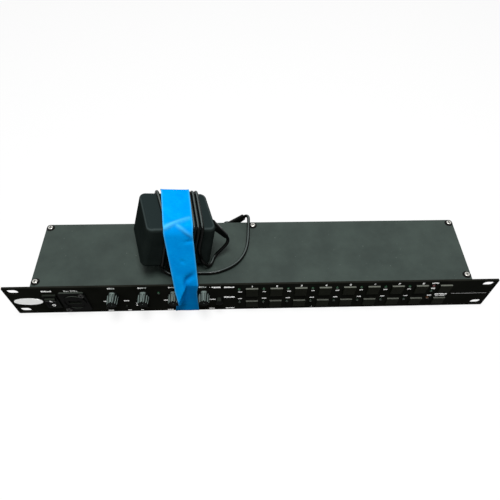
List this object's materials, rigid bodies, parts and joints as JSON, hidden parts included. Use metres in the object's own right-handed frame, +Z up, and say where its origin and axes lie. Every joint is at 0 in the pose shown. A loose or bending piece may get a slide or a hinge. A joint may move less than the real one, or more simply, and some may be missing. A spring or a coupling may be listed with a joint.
{
  "type": "rack-mount lighting controller",
  "caption": "One-unit rack lighting controller with keys, knobs, rocker switch and gooseneck-lamp socket, its mains adapter wound in its own lead and strapped on top with blue tape.",
  "frame": {"origin": "centre of the four rack slots, on the rear face of the panel ears that meets the rack rails", "axes": "+X to the right seen from the front, +Y to the rear into the rack, +Z up"},
  "size_m": [0.4826, 0.1045, 0.1082],
  "materials": {
    "chassis_black": "black semi-gloss powder coat on folded steel",
    "panel_black": "black satin paint with white printed lines",
    "bright_screw": "nickel-plated pan head",
    "nut_steel": "zinc-plated",
    "badge_white": "plain white gloss oval",
    "switch_black": "moulded black",
    "socket_metal": "black-chromed die casting",
    "insert_black": "moulded black",
    "knob_black": "moulded black, fluted",
    "shaft_metal": "turned",
    "component_black": "moulded black",
    "key_black": "moulded black, fine texture",
    "led_green": "clear tinted epoxy",
    "led_red": "clear tinted epoxy",
    "board_green": "solder mask over glass laminate",
    "standoff_brass": "turned",
    "jack_black": "moulded black",
    "adapter_black": "moulded black, fine spark-erosion texture",
    "prong_metal": "nickel-plated blades",
    "core_steel": "varnished laminations",
    "lead_black": "satin black jacket",
    "tape_blue": "sky-blue film"
  },
  "bodies": {
    "chassis": {"chassis_tray": "chassis_black", "top_cover": "chassis_black", "front_panel": "panel_black", "pan_head_screws": "bright_screw", "socket_screws": "bright_screw", "panel_nuts": "nut_steel", "oval_badge": "badge_white", "switch_housing": "switch_black", "lamp_socket": "socket_metal", "data_socket": "socket_metal", "lamp_socket_insert": "insert_black", "pot_bodies": "component_black", "key_switches": "component_black", "green_leds": "led_green", "status_leds": "led_red", "front_board": "board_green", "main_board": "board_green", "board_standoffs": "standoff_brass", "dc_jack": "jack_black", "dc_plug": "jack_black", "adapter_housing": "adapter_black", "adapter_base": "adapter_black", "adapter_prongs": "prong_metal", "adapter_transformer": "core_steel", "lead_relief": "lead_black", "lead_winding": "lead_black", "dc_lead": "lead_black", "lead_tail": "lead_black", "strapping_tape": "tape_blue"},
    "knob_1_body": {"knob_1": "knob_black", "pot_shaft_1": "shaft_metal"},
    "knob_2_body": {"knob_2": "knob_black", "pot_shaft_2": "shaft_metal"},
    "knob_3_body": {"knob_3": "knob_black", "pot_shaft_3": "shaft_metal"},
    "knob_4_body": {"knob_4": "knob_black", "pot_shaft_4": "shaft_metal"},
    "rocker_body": {"power_rocker": "switch_black"},
    "key_upper_1_body": {"key_upper_1": "key_black"},
    "key_upper_2_body": {"key_upper_2": "key_black"},
    "key_upper_3_body": {"key_upper_3": "key_black"},
    "key_upper_4_body": {"key_upper_4": "key_black"},
    "key_upper_5_body": {"key_upper_5": "key_black"},
    "key_upper_6_body": {"key_upper_6": "key_black"},
    "key_upper_7_body": {"key_upper_7": "key_black"},
    "key_upper_8_body": {"key_upper_8": "key_black"},
    "key_upper_9_body": {"key_upper_9": "key_black"},
    "key_lower_1_body": {"key_lower_1": "key_black"},
    "key_lower_2_body": {"key_lower_2": "key_black"},
    "key_lower_3_body": {"key_lower_3": "key_black"},
    "key_lower_4_body": {"key_lower_4": "key_black"},
    "key_lower_5_body": {"key_lower_5": "key_black"},
    "key_lower_6_body": {"key_lower_6": "key_black"},
    "key_lower_7_body": {"key_lower_7": "key_black"},
    "key_lower_8_body": {"key_lower_8": "key_black"},
    "key_lower_9_body": {"key_lower_9": "key_black"},
    "page_button_1_body": {"page_button_1": "knob_black"},
    "page_button_2_body": {"page_button_2": "knob_black"},
    "page_button_3_body": {"page_button_3": "knob_black"},
    "tap_button_body": {"tap_button": "knob_black"}
  },
  "joints": [
    {"name": "knob_1_turn", "type": "hinge", "parent": "chassis", "child": "knob_1_body", "pos_m": [-0.139, 0, 0.0075], "axis": [0, -1, 0], "range_deg": [-150, 150]},
    {"name": "knob_2_turn", "type": "hinge", "parent": "chassis", "child": "knob_2_body", "pos_m": [-0.1093, 0, 0.0075], "axis": [0, -1, 0], "range_deg": [-150, 150]},
    {"name": "knob_3_turn", "type": "hinge", "parent": "chassis", "child": "knob_3_body", "pos_m": [-0.0796, 0, 0.0075], "axis": [0, -1, 0], "range_deg": [-150, 150]},
    {"name": "knob_4_turn", "type": "hinge", "parent": "chassis", "child": "knob_4_body", "pos_m": [-0.05, 0, 0.0075], "axis": [0, -1, 0], "range_deg": [-150, 150]},
    {"name": "power_rocker_tilt", "type": "hinge", "parent": "chassis", "child": "rocker_body", "pos_m": [-0.2002, 0.0015, 0.0002], "axis": [1, 0, 0], "range_deg": [-18, 0]},
    {"name": "key_upper_1_press", "type": "slide", "parent": "chassis", "child": "key_upper_1_body", "axis": [0, 1, 0], "range_m": [0, 0.001], "stiffness_N_per_m": 800, "springref_m": -0.0003},
    {"name": "key_upper_2_press", "type": "slide", "parent": "chassis", "child": "key_upper_2_body", "axis": [0, 1, 0], "range_m": [0, 0.001], "stiffness_N_per_m": 800, "springref_m": -0.0003},
    {"name": "key_upper_3_press", "type": "slide", "parent": "chassis", "child": "key_upper_3_body", "axis": [0, 1, 0], "range_m": [0, 0.001], "stiffness_N_per_m": 800, "springref_m": -0.0003},
    {"name": "key_upper_4_press", "type": "slide", "parent": "chassis", "child": "key_upper_4_body", "axis": [0, 1, 0], "range_m": [0, 0.001], "stiffness_N_per_m": 800, "springref_m": -0.0003},
    {"name": "key_upper_5_press", "type": "slide", "parent": "chassis", "child": "key_upper_5_body", "axis": [0, 1, 0], "range_m": [0, 0.001], "stiffness_N_per_m": 800, "springref_m": -0.0003},
    {"name": "key_upper_6_press", "type": "slide", "parent": "chassis", "child": "key_upper_6_body", "axis": [0, 1, 0], "range_m": [0, 0.001], "stiffness_N_per_m": 800, "springref_m": -0.0003},
    {"name": "key_upper_7_press", "type": "slide", "parent": "chassis", "child": "key_upper_7_body", "axis": [0, 1, 0], "range_m": [0, 0.001], "stiffness_N_per_m": 800, "springref_m": -0.0003},
    {"name": "key_upper_8_press", "type": "slide", "parent": "chassis", "child": "key_upper_8_body", "axis": [0, 1, 0], "range_m": [0, 0.001], "stiffness_N_per_m": 800, "springref_m": -0.0003},
    {"name": "key_upper_9_press", "type": "slide", "parent": "chassis", "child": "key_upper_9_body", "axis": [0, 1, 0], "range_m": [0, 0.001], "stiffness_N_per_m": 800, "springref_m": -0.0003},
    {"name": "key_lower_1_press", "type": "slide", "parent": "chassis", "child": "key_lower_1_body", "axis": [0, 1, 0], "range_m": [0, 0.001], "stiffness_N_per_m": 800, "springref_m": -0.0003},
    {"name": "key_lower_2_press", "type": "slide", "parent": "chassis", "child": "key_lower_2_body", "axis": [0, 1, 0], "range_m": [0, 0.001], "stiffness_N_per_m": 800, "springref_m": -0.0003},
    {"name": "key_lower_3_press", "type": "slide", "parent": "chassis", "child": "key_lower_3_body", "axis": [0, 1, 0], "range_m": [0, 0.001], "stiffness_N_per_m": 800, "springref_m": -0.0003},
    {"name": "key_lower_4_press", "type": "slide", "parent": "chassis", "child": "key_lower_4_body", "axis": [0, 1, 0], "range_m": [0, 0.001], "stiffness_N_per_m": 800, "springref_m": -0.0003},
    {"name": "key_lower_5_press", "type": "slide", "parent": "chassis", "child": "key_lower_5_body", "axis": [0, 1, 0], "range_m": [0, 0.001], "stiffness_N_per_m": 800, "springref_m": -0.0003},
    {"name": "key_lower_6_press", "type": "slide", "parent": "chassis", "child": "key_lower_6_body", "axis": [0, 1, 0], "range_m": [0, 0.001], "stiffness_N_per_m": 800, "springref_m": -0.0003},
    {"name": "key_lower_7_press", "type": "slide", "parent": "chassis", "child": "key_lower_7_body", "axis": [0, 1, 0], "range_m": [0, 0.001], "stiffness_N_per_m": 800, "springref_m": -0.0003},
    {"name": "key_lower_8_press", "type": "slide", "parent": "chassis", "child": "key_lower_8_body", "axis": [0, 1, 0], "range_m": [0, 0.001], "stiffness_N_per_m": 800, "springref_m": -0.0003},
    {"name": "key_lower_9_press", "type": "slide", "parent": "chassis", "child": "key_lower_9_body", "axis": [0, 1, 0], "range_m": [0, 0.001], "stiffness_N_per_m": 800, "springref_m": -0.0003},
    {"name": "page_button_1_press", "type": "slide", "parent": "chassis", "child": "page_button_1_body", "axis": [0, 1, 0], "range_m": [0, 0.001], "stiffness_N_per_m": 800, "springref_m": -0.0003},
    {"name": "page_button_2_press", "type": "slide", "parent": "chassis", "child": "page_button_2_body", "axis": [0, 1, 0], "range_m": [0, 0.001], "stiffness_N_per_m": 800, "springref_m": -0.0003},
    {"name": "page_button_3_press", "type": "slide", "parent": "chassis", "child": "page_button_3_body", "axis": [0, 1, 0], "range_m": [0, 0.001], "stiffness_N_per_m": 800, "springref_m": -0.0003},
    {"name": "tap_button_press", "type": "slide", "parent": "chassis", "child": "tap_button_body", "axis": [0, 1, 0], "range_m": [0, 0.001], "stiffness_N_per_m": 800, "springref_m": -0.0003}
  ]
}
